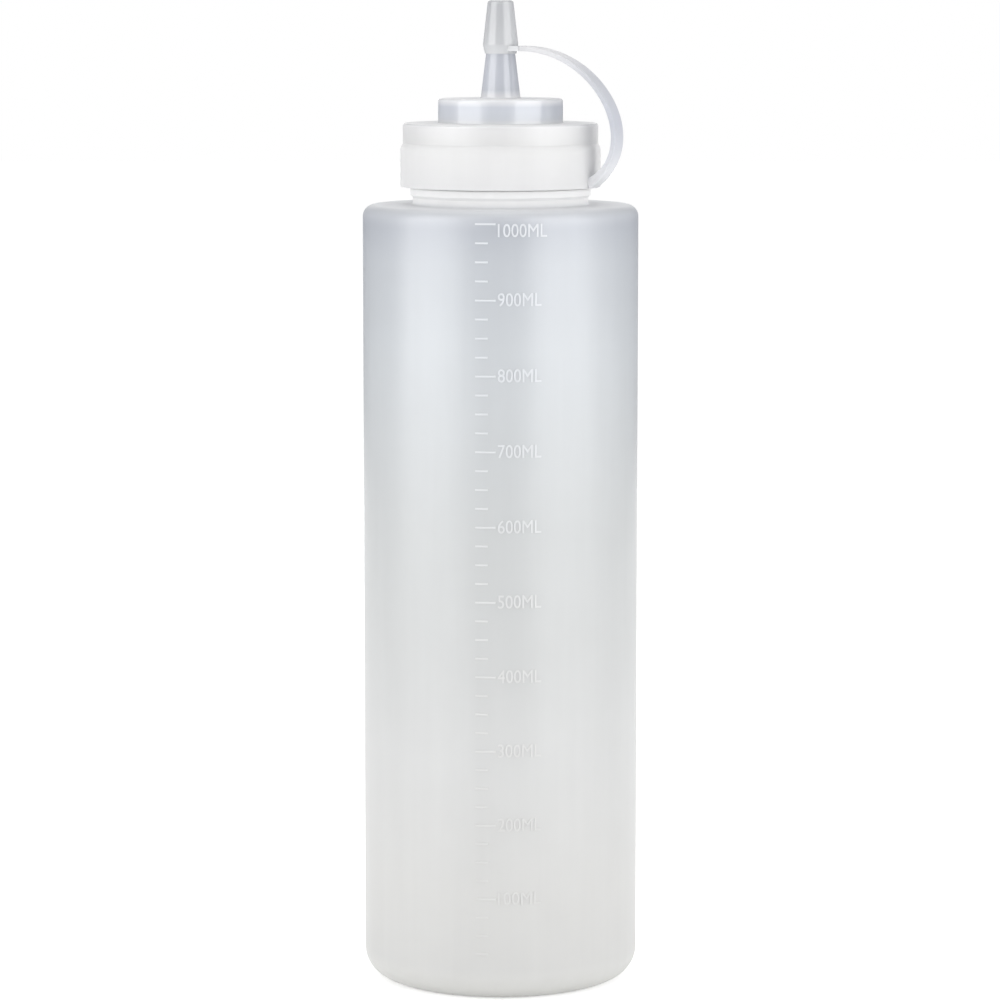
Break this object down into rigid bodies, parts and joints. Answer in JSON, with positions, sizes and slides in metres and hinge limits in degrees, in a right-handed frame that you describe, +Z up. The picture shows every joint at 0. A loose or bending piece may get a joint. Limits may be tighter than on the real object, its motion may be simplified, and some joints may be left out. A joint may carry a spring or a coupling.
{
  "type": "squeeze bottle",
  "caption": "Tall translucent squeeze bottle for sauce with a graduation on its wall, a screw cap with a tapered nozzle, and a push-on tip cap held by a strap.",
  "frame": {"origin": "middle of the standing face, on the table", "axes": "+Z up along the bottle's axis, -Y towards the front, where the graduation is, +X to the right"},
  "size_m": [0.0796, 0.0798, 0.2845],
  "materials": {
    "bottle_plastic": "translucent milky polyethylene, soft sheen",
    "cap_plastic": "translucent white polyethylene, soft sheen",
    "tether_plastic": "translucent white polyethylene, soft sheen",
    "seal_plastic": "soft white plastic foil, matt"
  },
  "bodies": {
    "bottle": {"bottle": "bottle_plastic"},
    "seal": {"seal_ring": "seal_plastic"},
    "cap": {"nozzle_cap": "cap_plastic"},
    "tether": {"tether_ring": "tether_plastic", "tether_strap": "tether_plastic"},
    "tip": {"tip_cap": "tether_plastic"}
  },
  "joints": [
    {"name": "cap_lift", "type": "slide", "parent": "bottle", "child": "seal", "axis": [0, 0, 1], "range_m": [0, 0.00736]},
    {"name": "cap_turn", "type": "hinge", "parent": "seal", "child": "cap", "pos_m": [0, 0, 0.2479], "axis": [0, 0, 1], "range_deg": [0, 630]},
    {"name": "tether_swivel", "type": "hinge", "parent": "cap", "child": "tether", "pos_m": [0, 0, 0.2374], "axis": [0, 0, 1], "continuous": true},
    {"name": "tip_cap_flip", "type": "hinge", "parent": "tether", "child": "tip", "pos_m": [0.01541, -0.00719, 0.2715], "axis": [0.4226, 0.9063, 0], "range_deg": [0, 150], "deforming": ["tether_strap"]}
  ],
  "couplings": [
    {"joint": "cap_lift", "follows": "cap_turn", "m_per_rad": 0.00066845}
  ]
}
